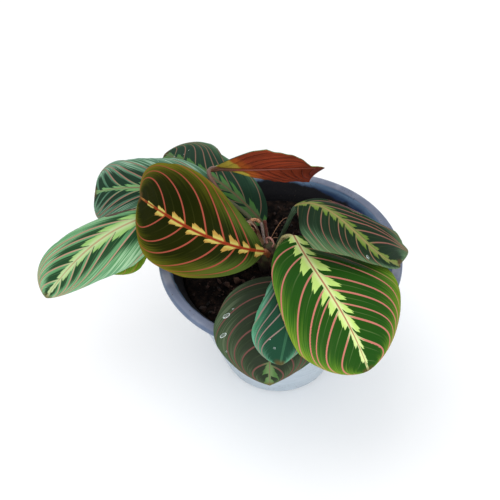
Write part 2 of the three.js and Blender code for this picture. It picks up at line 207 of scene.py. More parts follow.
# The pot is moulded in one piece of grey-blue plastic: a tapered wall, a thick rounded rim and a wide
# chamfer inside it. Its outer wall is speckled with splashes of dark compost.
def turned(name, sides, profile):
    """A closed body round the pot's axis, through (radius, height) pairs in millimetres"""
    radius, height = profile[0]
    circle = {"vertices": sides, "radius": radius / 1000, "fill_type": "NGON"}
    piece = added(name, bpy.ops.mesh.primitive_circle_add, **circle)
    bpy.ops.object.mode_set(mode="EDIT")
    bpy.ops.mesh.select_all(action="SELECT")
    bpy.ops.transform.translate(value=(0, 0, height / 1000))
    for next_radius, next_height in profile[1:]:
        way_up = (0, 0, (next_height - height) / 1000)
        bpy.ops.mesh.extrude_region_move(TRANSFORM_OT_translate={"value": way_up})
        share = next_radius / radius
        bpy.ops.transform.resize(value=(share, share, 1), center_override=(0, 0, next_height / 1000))
        radius, height = next_radius, next_height
    bpy.ops.mesh.select_all(action="SELECT")
    bpy.ops.mesh.normals_make_consistent(inside=False)
    bpy.ops.object.mode_set(mode="OBJECT")
    return piece


def apply_modifier(piece, kind, settings):
    select(piece)
    modifier = piece.modifiers.new(kind.lower(), kind)
    for name, value in settings.items():
        setattr(modifier, name, value)
    bpy.ops.object.modifier_apply(modifier=modifier.name)


def smooth(piece, degrees):
    select(piece)
    bpy.ops.object.shade_smooth_by_angle(angle=math.radians(degrees))


POT_PROFILE = [
    (37, 0), (38.5, 1.5), (67.5, 88), (77, 96.9), (79.4, 97.5), (80, 98.6), (80, 99.8), (79.4, 101.4),
    (77.8, 102), (74, 102), (72.8, 100.8), (67, 92), (65.5, 88), (35.9, 3.6), (34.9, 2.6),
]
POT_SIDES = 160
pot = turned("pot_body", POT_SIDES, POT_PROFILE)
apply_modifier(pot, "BEVEL", {"width": 0.0006, "segments": 3, "angle_limit": math.radians(12)})
smooth(pot, 40)

# The inside is all that lies within the middle of the wall and of the chamfer above it. It is painted a
# deeper blue than the outer wall: painted shade on the same plastic.
plastic = Finish("grey_blue_plastic")
pot_place = plastic.objects_own()
pot_x, pot_y, pot_z = plastic.split(pot_place)
radius_out = (pot_x * pot_x + pot_y * pot_y) ** 0.5
wall_middle = (0.0365 + 0.343 * pot_z).most(0.8 * pot_z - 0.005)
inside = (wall_middle - radius_out).step(-0.0002, 0.0002) * radius_out.step(0.0737, 0.0730)
rim = pot_z.step(0.0965, 0.0985)
rim_edge = radius_out.step(0.0785, 0.0797)

streaks = plastic.noise_over(pot_x * 40, pot_y * 40, pot_z * 400, detail=3)
dust = plastic.noise(pot_place, 60, detail=4).step(0.45, 0.75)
# A painted highlight: a paler, streaked blue along the top of the inner wall.
painted_highlight = pot_z.step(0.0975, 0.1005) * plastic.noise_over(pot_x * 60, pot_y * 60, pot_z * 500)
# Painted shade: below a ragged line the inside turns near black and matt, and that line lies higher on the
# left.
shade_height = pot_z + 0.006 * plastic.noise(pot_place, 120, detail=4) - 0.004 * pot_x.step(0.04, 0.0)
painted_shade_low_inside = inside * shade_height.step(0.1005, 0.0985)
splashed = plastic.noise(pot_place, 90).step(0.45, 0.6)
specks = plastic.noise(pot_place, 900, detail=1).step(0.66, 0.72) * splashed
grain = plastic.noise(pot_place, 1400)

pot_colour = plastic.layered(
    plastic.mix(streaks, (146, 158, 168), (176, 188, 198)),
    (rim, plastic.mix(dust, (104, 112, 132), (148, 152, 166))),
    (rim_edge * 0.7, (72, 90, 116)),
    # painted shade: the inside in a deeper blue
    (inside, plastic.mix(dust, (30, 54, 88), (66, 86, 116))),
    # painted highlight along the top of the inside
    (inside * painted_highlight, (120, 150, 180)),
    # painted shade low on the inside
    (painted_shade_low_inside * 0.97, (14, 11, 12)),
    (specks * 0.8, (52, 46, 42)),
)
pot.data.materials.append(plastic.surface(
    Base_Color=pot_colour, Roughness=0.32 + 0.2 * dust + 0.45 * painted_shade_low_inside,
    Normal=plastic.bump(grain, 0.00008), Specular_IOR_Level=0.25,
))
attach(pot, "root")
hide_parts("pot")

# The soil is dark moist peat with bits of bark and fibre, filled in loose and uneven to a thumb's
# width below the rim. Its top is worked up from rings, and it sinks to its level at the wall.
SOIL_LEVEL = 89.5
SOIL_EDGE = 64
SOIL_SHOULDER = 3
SOIL_TOP_RADIUS = 62.8
SOIL_RINGS = 64


def soil_height(x, y):
    """Height of the soil's top in millimetres: long rolls, short ripples and clods"""
    roll = 1.3 * math.sin(x / 7 + 1.3 * math.sin(y / 7)) * math.cos(y / 7)
    ripple = 0.65 * math.sin((x - y) / 3.5)
    clods = 1.5 * noise.noise((x / 4.5, y / 4.5, 3.0)) + 0.9 * noise.noise((x / 1.6, y / 1.6, 7.0))
    return SOIL_LEVEL + roll + ripple + clods


soil_profile = [(34.6, 2.9), (35.6, 3.9), (64.8, 87.0)]
for rings_left in range(SOIL_RINGS, 0, -1):
    soil_profile.append((SOIL_TOP_RADIUS * rings_left / SOIL_RINGS, SOIL_LEVEL))
soil = turned("soil_fill", POT_SIDES, soil_profile)
for vertex in soil.data.vertices:
    x, y, z = vertex.co * 1000
    if z > soil_profile[2][1] + 1:
        edge = min((SOIL_EDGE - math.hypot(x, y)) / SOIL_SHOULDER, 1)
        vertex.co.z = (SOIL_LEVEL + (soil_height(x, y) - SOIL_LEVEL) * edge) / 1000
smooth(soil, 80)

peat = Finish("moist_peat")
peat_place = peat.objects_own()
lumps = peat.noise(peat_place, 260, detail=4)
fibres = peat.noise(peat_place, 900, detail=3)
peat_colour = peat.layered(
    (8, 6, 6), (lumps.step(0.4, 0.7), (36, 26, 21)),
    (fibres.step(0.64, 0.76) * 0.5, (88, 62, 46)),
)
soil.data.materials.append(peat.surface(
    Base_Color=peat_colour, Roughness=0.95, Specular_IOR_Level=0.1,
    Normal=peat.bump(lumps * 0.6 + fibres * 0.4, 0.0012),
))
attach(soil, "root")
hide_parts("soil")

# Loose crumbs of bark and peat lie all over the soil. Most are knobbly bits of one or two millimetres,
# some are longer than wide, and one in forty-five is a big one.
CRUMB_STRETCHES = (1.0, 1.4, 2.2)
CRUMBS_OF_EACH = 230
CRUMB_REACH = 63
BIG_ONE_IN = 45
chance = np.random.default_rng(7)


def copy_of(model):
    """A copy with a mesh of its own"""
    piece = model.copy()
    piece.data = model.data.copy()
    bpy.context.scene.collection.objects.link(piece)
    return piece


def joined(name, pieces):
    """All the pieces as one, which stays selected"""
    select(*pieces)
    if len(pieces) > 1:
        bpy.ops.object.join()
    pieces[0].name = name
    return pieces[0]


crumbs = []
for stretch in CRUMB_STRETCHES:
    model = added("soil_crumb", bpy.ops.mesh.primitive_ico_sphere_add, subdivisions=1, radius=0.001)
    for vertex in model.data.vertices:
        vertex.co *= 1 + 0.7 * noise.noise(vertex.co * 1400)
        vertex.co.x *= stretch
    for index in range(CRUMBS_OF_EACH):
        crumb = copy_of(model)
        reach = CRUMB_REACH * math.sqrt(chance.random())
        around = 2 * math.pi * chance.random()
        x, y = reach * math.cos(around), reach * math.sin(around)
        size = 0.35 + 1.1 * chance.random() ** 3 + (1.2 if index % BIG_ONE_IN == 0 else 0)
        turn = Matrix.Rotation(2 * math.pi * chance.random(), 4, "Z")
        tilt = Matrix.Rotation(0.6 * chance.random(), 4, "Y")
        place = Matrix.Translation((x / 1000, y / 1000, (soil_height(x, y) + 0.2) / 1000))
        crumb.data.transform(place @ (turn @ tilt) @ Matrix.Diagonal((size, size, size, 1)))
        crumbs.append(crumb)
    bpy.data.objects.remove(model)
loose = joined("soil_crumbs", crumbs)

bark = Finish("bark_and_fibre")
bark_place = bark.objects_own()
bark_kind = bark.noise(bark_place, 180, detail=0)
bark_colour = bark.layered(
    (14, 10, 9), (bark_kind.step(0.35, 0.6), (58, 36, 27)),
    (bark_kind.step(0.66, 0.7) * 0.6, (104, 76, 58)),
)
loose.data.materials.append(bark.surface(
    Base_Color=bark_colour, Roughness=0.9, Normal=bark.bump(bark.noise(bark_place, 1500), 0.0004),
))
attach(loose, "root")
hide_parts("soil")

# The crown is the short stump of stem bases, wrapped in old sheaths, that all the stalks rise from.
# It is green-brown and ridged, with three lobes, and stands in its hole in the soil.
CROWN_PROFILE = [
    (1, 77), (6, 77), (7.1, 82), (7.5, 85), (7.6, 88), (7.6, 91), (7.4, 94), (7, 97), (6.4, 100),
    (5.6, 103), (4.7, 105.4), (3.6, 107), (2, 108), (0.4, 108.5),
]
CROWN_AXIS = (-7, 1)
CROWN_SIDES = 84
crown = turned("crown_stump", CROWN_SIDES, CROWN_PROFILE)
for vertex in crown.data.vertices:
    x, y, z = vertex.co * 1000
    around = math.atan2(y, x)
    swell = 1 + 0.09 * math.sin(3 * around + z / 6) + 0.035 * math.sin(14 * around + z / 2.5)
    vertex.co = Vector((CROWN_AXIS[0] + x * swell, CROWN_AXIS[1] + y * swell, z)) / 1000
smooth(crown, 60)

stump = Finish("sheathed_stump")
stump_place = stump.objects_own()
stump_x, stump_y, stump_z = stump.split(stump_place)
stump_fibre = stump.noise_over(stump_x * 900, stump_y * 900, stump_z * 120, detail=3)
stump_patch = stump.noise(stump_place, 130)
stump_colour = stump.layered(
    (60, 44, 30), (stump_patch.step(0.4, 0.6), (88, 92, 52)),
    (stump_fibre.step(0.55, 0.8) * 0.7, (150, 104, 78)), (stump_z.step(0.098, 0.091), (38, 26, 20)),
)
crown.data.materials.append(stump.surface(
    Base_Color=stump_colour, Roughness=0.7, Normal=stump.bump(stump_fibre, 0.0005),
))
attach(crown, "root")
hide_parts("crown")

# Each of the ten leaves is one growth: a thin blade, quilted between lateral veins that leave the
# midrib and swing to the tip, and under it the midrib, the swollen joint and the stalk to the crown.
# The upper face is patterned, and the under face is a plain red-purple or brown.

# Sizes are in millimetres, angles in degrees and colours as on a screen. Lists run from base to tip.
# - rib and stalk: what each passes through. face: azimuth and height of where the upper side looks.
#   width: half the blade's, with left and right as factors. lean: how far a margin runs ahead. fold:
#   a half's angle at the midrib. curl: how far it bends on. widest, fullness, bluntness: outline.
# - veins: shares of the midrib where laterals start. thin: strength of single ones. sweep: their bow and
#   its power, their dip and sag, and where along the midrib the bow begins and is full.
# - feather: reach of the pale blocks, which end at feather_ends of a field and leave rest of it beyond.
#   blotch: reach of the dark patches, as wedges or not. stripes, fine_veins: strength of fine lines.
#   vein_width, rib_width: half of a line's. vein_fade: how far out laterals stay full. gloss: shine.
LEAVES = {
    "leaf_front_right": dict(
        rib=[[8, -11, 129], [22, -48, 135], [38, -73, 126], [55, -87, 92]],
        stalk=[[-3, 0, 101], [2, -3, 119]], face=[[-80, 60], [-80, 50]],
        width=35, left=[1.3, 1.4, 1.45], right=[0.85, 1.08, 1.12], fold_left=[-10, -6], fold_right=[9, 6],
        curl_left=[-22], curl_right=[-22, -30], bluntness=0.85,
        veins_left=[0.13, 0.22, 0.38, 0.48, 0.56, 0.63, 0.74], thin_left={0: 0.3, 4: 0.5},
        veins_right=[0.1, 0.2, 0.34, 0.46, 0.52, 0.6, 0.72], thin_right={4: 0.55},
        sweep_left=dict(
            bow=[0.65, 0.65, 0.75, 0.97, 0.97], power=[1.7, 1.7, 1.3, 0.55, 0.5], begins=0, full=0.2,
        ),
        sweep_right=dict(bow=[0.45, 0.45, 0.55, 0.88, 0.9], power=[2.2, 2.2, 1.9, 0.8, 0.5], dip=0.14),
        feather=[5, 7.5, 10, 9.5, 7.5, 5, 3, 0.3], blotch=[0.5, 0.6, 0.65, 0.5], stripes=0.45,
        vein_width=0.66,
        tints=dict(
            dark=(22, 66, 14), mid=(58, 108, 26), margin=(112, 130, 30), stripe=(136, 170, 66),
            feather=(180, 210, 112), heart=(204, 218, 150), vein=(190, 112, 100), rib=(176, 122, 92),
            under=(96, 60, 64), stalk=(206, 198, 136),
        ),
    ),
    "leaf_back_right": dict(
        rib=[[8, -2, 146], [30, -15, 154], [52, -30, 143], [74, -29, 124]],
        stalk=[[-4, 4, 99], [2, 5, 117]], face=[[-90, 74], [-75, 72], [-60, 64]],
        width=32, left=[0.4, 0.65, 0.95, 0.85, 0.75], right=[0.85, 0.5, 0.26, 0.2],
        lean_left=[0, 0.15, 0.4, 0.75, 1.7], fold_left=[-30, -14, -4], fold_right=[-3, 6, 16],
        curl_left=[-40, -25], curl_right=[-14, -4], bluntness=0.55,
        veins_left=[0.1, 0.2, 0.3, 0.4, 0.52, 0.66],
        veins_right=[0.04, 0.15, 0.25, 0.31, 0.39, 0.45, 0.55, 0.67],
        thin_right={0: 0.5, 1: 0.7, 2: 0.5, 3: 0.3, 4: 0.6, 5: 0.4, 6: 0.6},
        sweep_left=dict(bow=[0.85], power=[1.2], full=0.3), sweep_right=dict(bow=[0.05], sag=0.06),
        feather=[2.5, 4, 4.5, 4.5, 3.5, 2], blotch=[0.6, 0.7, 0.7, 0.6], stripes=0.7, vein_width=0.55,
        # painted sheen: these tints are partly the leaf's own green and partly a blue cast of reflected sky
        tints=dict(
            dark=(14, 32, 18), mid=(62, 96, 66), margin=(84, 104, 64), stripe=(118, 150, 116),
            feather=(90, 120, 42), heart=(120, 132, 70), vein=(140, 92, 82), rib=(150, 132, 84),
            under=(90, 60, 62), stalk=(58, 84, 60),
        ),
    ),
    "leaf_front_low": dict(
        rib=[[0, -28, 109], [-2, -56, 114], [-4, -80, 106], [-4, -93, 82]],
        stalk=[[-6, -3, 94], [-4, -15, 103]], face=[[-90, 60], [-90, 50]],
        width=35, left=[1], right=[0.96, 1.1, 1.14], fold=[4], curl=[-20], bluntness=1.35,
        veins_left=[0.1, 0.24, 0.38, 0.52, 0.66, 0.82], veins_right=[0.08, 0.22, 0.36, 0.5, 0.64, 0.8],
        sweep=dict(bow=[0.8]),
        feather=[2, 3, 4, 5], blotch=[0.5, 0.5, 0.5], stripes=0.6, vein_width=0.6,
        tints=dict(
            dark=(34, 42, 30), mid=(54, 68, 46), margin=(58, 78, 52), stripe=(92, 104, 80),
            feather=(70, 104, 56), heart=(96, 120, 76), vein=(104, 66, 62), rib=(120, 100, 84),
            under=(84, 58, 60), stalk=(110, 110, 76),
        ),
    ),
    "leaf_front_middle": dict(
        rib=[[6, -23, 117], [8, -60, 124], [5, -81, 115], [2, -92, 101]],
        stalk=[[-4, -2, 97], [2, -11, 110]], face=[[-100, 60], [-100, 50]],
        width=29, left=[1, 0.7, 0.35], right=[0.6, 0.8, 1.3], curl=[-25], bluntness=0.8,
        veins_left=[0.1, 0.3, 0.5, 0.7], veins_right=[0.03, 0.24, 0.46, 0.66],
        sweep_right=dict(bow=[0.9, 0.95], power=[0.9, 0.7], begins=0, full=0.05),
        feather=[0.5], blotch=[0.55, 0.6, 0.6], stripes=0.8, fine_veins=0.03, vein_width=0.5,
        # painted sheen: these tints are partly the leaf's own green and partly a blue cast of reflected sky
        tints=dict(
            dark=(18, 52, 36), mid=(60, 116, 84), margin=(84, 148, 114), stripe=(110, 164, 138),
            feather=(70, 124, 80), heart=(56, 104, 74), vein=(142, 116, 110), rib=(50, 92, 66),
            under=(90, 60, 62), stalk=(120, 120, 80),
        ),
    ),
    "leaf_centre": dict(
        rib=[[-10, -18, 121], [-36, -23, 133], [-63, -13, 139], [-92, 17, 132]],
        stalk=[[-8, -3, 101], [-8, -11, 112]], face=[[-90, 46], [-110, 40]],
        width=32, left=[0.95, 1, 1], right=[0.95, 1.04, 1.1, 1.3], lean_right=[0, 0, 0.25, 0.8], fold=[8],
        curl=[-22], widest=0.6, fullness=0.55, bluntness=0.9,
        veins_left=[0.11, 0.2, 0.3, 0.435, 0.55, 0.7], thin_left={0: 0.6},
        veins_right=[0.1, 0.17, 0.27, 0.39, 0.54, 0.7], thin_right={0: 0.5},
        sweep_left=dict(bow=[0.75], power=[2.2, 2.2, 2.0, 1.1, 0.7], sag=0.05, begins=0.2, full=0.6),
        sweep_right=dict(bow=[1.1], power=[4.2, 3.8, 2.1, 1.0, 0.6], begins=0.1, full=0.5),
        feather=[3, 5, 5.5, 5, 5, 4.5, 2, 0.4], feather_ends=0.6, rest=0.04,
        blotch=[0.1, 0.4, 0.62, 0.66, 0.55], stripes=0.3, fine_veins=0.02, vein_width=0.6, vein_fade=0.3,
        rib_width=0.6, gloss=0.02,
        tints=dict(
            dark=(14, 20, 1), mid=(56, 60, 8), margin=(112, 104, 26), stripe=(92, 108, 40),
            feather=(168, 130, 62), heart=(186, 182, 96), base=(70, 92, 38), vein=(152, 72, 58),
            vein_edge=(150, 72, 36), rib=(134, 44, 24), under=(96, 52, 44), stalk=(188, 104, 56),
        ),
    ),
    "leaf_far_left": dict(
        rib=[[-69, 20, 118], [-94, 8, 120], [-122, -8, 111], [-151, -33, 87]],
        stalk=[[-11, 0, 96], [-36, 5, 112]], face=[[-70, 55], [-50, 50]],
        width=30, left=[0.9, 0.75, 0.7], right=[0.3, 0.65, 1.15], fold_right=[5], curl_left=[-30],
        curl_right=[-45],
        veins_left=[0.07, 0.22, 0.4, 0.56, 0.7, 0.84], veins_right=[0.1, 0.26, 0.42, 0.58, 0.72, 0.86],
        sweep=dict(bow=[0.85, 0.9, 0.95], power=[1.5, 1.1, 0.7], full=0.3),
        feather=[4, 5.5, 6, 5.5, 4.5, 2.5, 1], feather_ends=0.84, rest=0.25,
        blotch=[0.22, 0.38, 0.44, 0.46, 0.34], wedges=True, stripes=1, vein_width=0.5,
        # painted sheen: these tints are partly the leaf's own green and partly a blue cast of reflected sky
        tints=dict(
            dark=(10, 46, 20), mid=(84, 136, 88), margin=(100, 148, 112), stripe=(152, 188, 148),
            feather=(136, 176, 100), heart=(172, 192, 140), vein=(172, 132, 112), rib=(168, 146, 110),
            under=(74, 62, 54), stalk=(120, 130, 80),
        ),
    ),
    "leaf_upper_left": dict(
        rib=[[-39, 30, 122], [-75, 30, 128], [-107, 36, 122], [-128, 43, 110]],
        stalk=[[-11, 5, 100], [-21, 18, 115]], face=[[-90, 75], [-100, 70], [-125, 62]],
        width=32, left=[0.3, 0.6, 1.1], right=[0.95, 0.83, 0.92, 1.25], fold=[5], curl=[-45],
        bluntness=0.42,
        veins_left=[0.1, 0.3, 0.48, 0.66], veins_right=[0.08, 0.22, 0.38, 0.54, 0.7],
        sweep_left=dict(bow=[0.95, 0.98, 0.98], power=[0.9, 0.55, 0.45], full=0.3),
        sweep_right=dict(bow=[0.95, 0.98, 0.98], power=[1, 0.6, 0.45], full=0.3),
        feather=[4, 6, 7, 7, 3, 2, 2], blotch=[0.3, 0.4, 0.45, 0.45], wedges=True, stripes=1,
        fine_veins=0.03, vein_width=0.5,
        # painted sheen: these tints are partly the leaf's own green and partly a blue cast of reflected sky
        tints=dict(
            dark=(10, 36, 22), mid=(66, 106, 78), margin=(106, 146, 124), stripe=(148, 182, 156),
            feather=(96, 152, 84), heart=(116, 158, 104), vein=(150, 112, 98), rib=(130, 116, 88),
            under=(90, 60, 62), stalk=(96, 100, 66),
        ),
    ),
    "leaf_back_long": dict(
        rib=[[-11, 24, 103], [-34, 40, 118], [-57, 57, 122], [-84, 84, 112]],
        stalk=[[-7, 5, 96], [-9, 13, 102]], face=[[-100, 70], [-100, 66]],
        width=31, left=[0.7, 0.7, 0.9], right=[0.75, 0.72, 1.2, 1.55], fold_right=[0, -12, -2], curl=[-35],
        sweep=dict(bow=[0.85], power=[1.3, 1.1, 0.8], full=0.3),
        feather=[6, 6.5, 5, 3], blotch=[0.6, 0.6, 0.6], stripes=0.8, vein_width=0.45,
        # painted sheen: these tints are partly the leaf's own green and partly a blue cast of reflected sky
        tints=dict(
            dark=(22, 48, 36), mid=(58, 92, 60), margin=(76, 106, 76), stripe=(96, 128, 96),
            feather=(72, 122, 60), heart=(84, 110, 70), vein=(130, 98, 84), rib=(116, 96, 74),
            under=(86, 56, 58), stalk=(96, 100, 66),
        ),
    ),
    "leaf_back_folded": dict(
        rib=[[-45, 42, 138], [-22, 40, 139], [5, 43, 138], [28, 55, 128]],
        stalk=[
            [-11, 0, 99], [-16, -3, 113], [-27, 3, 129], [-37, 12, 138], [-45, 21, 144], [-48, 32, 143],
        ],
        face=[[90, 24], [90, 24]],
        width=27, left=[0.65, 0.7, 0.85, 1.2, 1.4], right=[1.45, 0.75, 0.15, 0.1],
        lean_left=[0, 0.1, 0.3, 0.6, 0.6], curl=[-10], fullness=0.25, bluntness=0.6,
        feather=[4, 6, 6, 4], blotch=[0.6, 0.6, 0.6],
        tints=dict(
            dark=(24, 52, 40), mid=(60, 100, 70), margin=(90, 110, 60), stripe=(110, 140, 96),
            feather=(140, 170, 90), heart=(160, 176, 110), vein=(190, 120, 100), rib=(150, 110, 80),
            under=(136, 58, 36), patch=(196, 176, 70), stalk=(118, 76, 56),
        ),
    ),
    "leaf_left_low": dict(
        rib=[[-78, 27, 107], [-92, 11, 107], [-105, -3, 101], [-115, -10, 88]],
        stalk=[[-11, -1, 91], [-40, 9, 105]], face=[[-100, 50], [-80, 50]],
        width=24, left=[0.5, 0.8, 1], right=[0.6, 0.7, 0.8], curl=[-30],
        veins_left=[0.15, 0.4, 0.7], veins_right=[0.15, 0.4, 0.7],
        feather=[3, 5, 5, 3], blotch=[0.5, 0.5, 0.5], vein_width=0.4,
        tints=dict(
            dark=(56, 84, 16), mid=(84, 118, 22), margin=(96, 128, 28), stripe=(132, 150, 60),
            feather=(160, 176, 90), heart=(176, 182, 110), vein=(150, 110, 56), rib=(150, 96, 64),
            under=(110, 66, 56), stalk=(120, 116, 72),
        ),
    ),
}
VEIN_SPACING = 0.115
VEINS_BEFORE = -0.4
HALVINGS = 24
PLAIN_SWEEP = dict(bow=[0.7], power=[2.2], dip=0, sag=0, begins=0.05, full=0.45)


def spread(values, x):
    """Value of a list spread evenly over 0..1, straight between its entries"""
    if len(values) == 1:
        return np.full(np.shape(x), float(values[0]))
    return np.interp(x, np.linspace(0, 1, len(values)), values)


def of_halves(leaf, key, is_left, x):
    """A leaf's value at x, from its list for the half that each point is on or for both halves"""
    left, right = [spread(leaf.get(key + half, leaf.get(key, [0])), x) for half in ("_left", "_right")]
    return np.where(is_left, left, right)


def swing(x, low, high):
    """0 up to low and 1 from high, smooth between them"""
    share = np.clip((x - low) / (high - low), 0, 1)
    return share * share * (3 - 2 * share)


def unit(vectors):
    return vectors / np.linalg.norm(vectors, axis=-1, keepdims=True)


def lengths_along(points):
    return np.concatenate([[0], np.cumsum(np.linalg.norm(np.diff(points, axis=0), axis=1))])


def rib_curve(points):
    """Cubic through four points at even shares: its control points, and its parameter by length"""
    a, b, c, d = np.array(points, float)
    controls = np.array([a, (-5 * a + 18 * b - 9 * c + 2 * d) / 6, (2 * a - 9 * b + 18 * c - 5 * d) / 6, d])
    parameter = np.linspace(0, 1, 401)
    return controls, parameter, lengths_along(curve_point(controls, parameter))


def rib_length(leaf):
    return leaf["curve"][2][-1]


def curve_point(controls, u):
    a, b, c, d = controls
    u = u[..., None]
    return (1 - u) ** 3 * a + 3 * u * (1 - u) ** 2 * b + 3 * u * u * (1 - u) * c + u ** 3 * d


def curve_ahead(controls, u):
    a, b, c, d = controls
    u = u[..., None]
    return unit((1 - u) ** 2 * (b - a) + 2 * u * (1 - u) * (c - b) + u * u * (d - c))


def vein_label(leaf, t, v):
    """Which lateral vein a point lies on: whole numbers on the veins, shares of the way between them.
    Halving finds the place on the midrib from which a lateral would sweep through the point."""
    labels = np.empty(np.shape(t))
    for half, mask in (("left", v < 0), ("right", v >= 0)):
        way = {**PLAIN_SWEEP, **leaf.get("sweep_" + half, leaf.get("sweep", {}))}
        out = np.abs(v[mask])
        low, high = np.full(out.shape, VEINS_BEFORE), np.ones(out.shape)
        for _ in range(HALVINGS):
            middle = (low + high) / 2
            swung = swing(middle, way["begins"], way["full"])
            bowed = spread(way["bow"], middle) * out ** spread(way["power"], middle) * swung
            dipped = way["dip"] * (1 - swing(middle, 0.1, 0.5)) * out + way["sag"] * 4 * out * (1 - out)
            beyond = middle + (1 - middle) * (bowed - dipped) > t[mask]
            low, high = np.where(beyond, low, middle), np.where(beyond, middle, high)
        veins = leaf["veins_" + half]
        first = 1 - (veins[0] - VEINS_BEFORE) / VEIN_SPACING
        last = len(veins) + (1 - veins[-1]) / VEIN_SPACING
        counts = [first, *range(1, len(veins) + 1), last]
        labels[mask] = np.interp(low, [VEINS_BEFORE, *veins, 1], counts)
    return labels


def blade(leaf, t, v, quilt=0.4):
    """Points of the blade's middle surface, their place along the midrib and their way out from it.
    t runs from the base to the tip and v across, from -1 at the left margin to 1 at the right."""
    # A line across leaves the midrib at t and curves forward to meet the margin at end.
    controls, parameter, lengths = leaf["curve"]
    out = np.abs(v)
    is_left = v < 0
    end = 0.42 + 0.58 * t
    widest = leaf.get("widest", 0.52)
    beyond = np.clip((end - widest) / (1 - widest), 0, 1)
    before = np.clip((widest - end) / widest, 0, 1)
    rounding = 0.74 * leaf.get("bluntness", 1)
    outline = np.where(end > widest, np.maximum(1 - beyond ** 2, 0) ** rounding, 1 - 0.42 * before ** 2)
    reach = leaf["width"] * outline
    fullness = leaf.get("fullness", 0.8)
    swept = swing(t, 0, 0.35)
    middle_station = t + (0.22 + 0.42 * swept) * (end - t)
    middle_reach = (fullness + (0.9 - fullness) * swept) * reach
    near, middle = (1 - out) ** 2, 2 * out * (1 - out)
    station = near * t + middle * middle_station + out * out * end
    factor = np.where(is_left, spread(leaf["left"], t), spread(leaf["right"], t))
    side = (middle * middle_reach + out * out * reach) * factor

    # Each half leaves the midrib at its fold and bends on by its curl, in a part of a circle.
    u = np.interp(station * lengths[-1], lengths, parameter)
    ahead = curve_ahead(controls, u)
    angles = np.radians(np.array(leaf["face"], float))
    faces = [[math.cos(el) * math.cos(az), math.cos(el) * math.sin(az), math.sin(el)] for az, el in angles]
    up = np.stack([spread(axis, station) for axis in np.transpose(faces)], -1)
    up = unit(up - np.sum(up * ahead, -1, keepdims=True) * ahead)
    across = np.cross(ahead, up)
    fold = np.radians(of_halves(leaf, "fold", is_left, station))
    bend = np.radians(of_halves(leaf, "curl", is_left, station)) / leaf["width"]
    turned_by = fold + bend * side
    flat = (np.sin(turned_by) - np.sin(fold)) / bend
    lift = (np.cos(fold) - np.cos(turned_by)) / bend

    # The margin is wavy, with small waves on long ones, and the blade rises between the laterals.
    fine = np.sin(2 * np.pi * 11 * station + np.where(is_left, 1, 4)) * out ** 6 * 0.25
    waves = np.sin(2 * np.pi * 3 * station + np.where(is_left, 0, 2)) * out ** 3
    ripple = np.sin(np.pi * out) * (1 - t * t) * np.cos(2 * np.pi * vein_label(leaf, t, v))
    raised = lift - quilt * ripple + 0.8 * (waves + fine) * np.sin(np.pi * station)
    lean = of_halves(leaf, "lean", is_left, t) * out * side
    points = curve_point(controls, u) + across * np.where(is_left, -flat, flat)[:, None]
    points = points + ahead * lean[:, None] + up * raised[:, None]
    return points, station * lengths[-1], np.where(is_left, -side, side)


def shaped_grid(name, rows, columns):
    """A flat grid, with the two shares of the way along it of each vertex"""
    grid = {"size": 1, "x_subdivisions": rows, "y_subdivisions": columns}
    piece = added(name, bpy.ops.mesh.primitive_grid_add, **grid)
    places = np.empty(len(piece.data.vertices) * 3)
    piece.data.vertices.foreach_get("co", places)
    places = places.reshape(-1, 3)
    return piece, places[:, 0] + 0.5, places[:, 1] + 0.5


def set_points(piece, millimetres):
    piece.data.vertices.foreach_set("co", (millimetres / 1000).ravel())
    piece.data.update()


def set_map(piece, name, pairs):
    layer = piece.data.uv_layers.get(name) or piece.data.uv_layers.new(name=name)
    corners = np.empty(len(piece.data.loops), int)
    piece.data.loops.foreach_get("vertex_index", corners)
    layer.data.foreach_set("uv", np.stack(pairs, -1)[corners].ravel())


def set_values(piece, name, values):
    piece.data.attributes.new(name, "FLOAT", "POINT").data.foreach_set("value", values)


def worked_all_over(piece, *steps):
    """Edit-mode operators on the whole piece, each given with its settings"""
    select(piece)
    bpy.ops.object.mode_set(mode="EDIT")
    for operator, settings in steps:
        bpy.ops.mesh.select_all(action="SELECT")
        operator(**settings)
    bpy.ops.object.mode_set(mode="OBJECT")


MERGE_DOUBLES = (bpy.ops.mesh.remove_doubles, {"threshold": 0.000002})


def knotted_curve(knots):
    """Smooth curve through any number of points: a function of the share of its way, and its length"""
    knots = np.array(knots, float)
    knots = np.concatenate([[2 * knots[0] - knots[1]], knots, [2 * knots[-1] - knots[-2]]])
    pieces = []
    for a, b, c, d in zip(knots, knots[1:], knots[2:], knots[3:]):
        before, here, after = [math.sqrt(np.linalg.norm(q - p)) for p, q in ((a, b), (b, c), (c, d))]
        start = ((b - a) / before - (c - a) / (before + here) + (c - b) / here) * here
        stop = ((c - b) / here - (d - b) / (here + after) + (d - c) / after) * here
        u = np.linspace(0, 1, 30, endpoint=False)[:, None]
        rise = (-3 * b + 3 * c - 2 * start - stop) * u ** 2 + (2 * b - 2 * c + start + stop) * u ** 3
        pieces.append(b + start * u + rise)
    points = np.concatenate([*pieces, [knots[-2]]])
    lengths = lengths_along(points)

    def at(share):
        return np.stack([np.interp(share * lengths[-1], lengths, points[:, k]) for k in range(3)], -1)

    return at, lengths[-1]


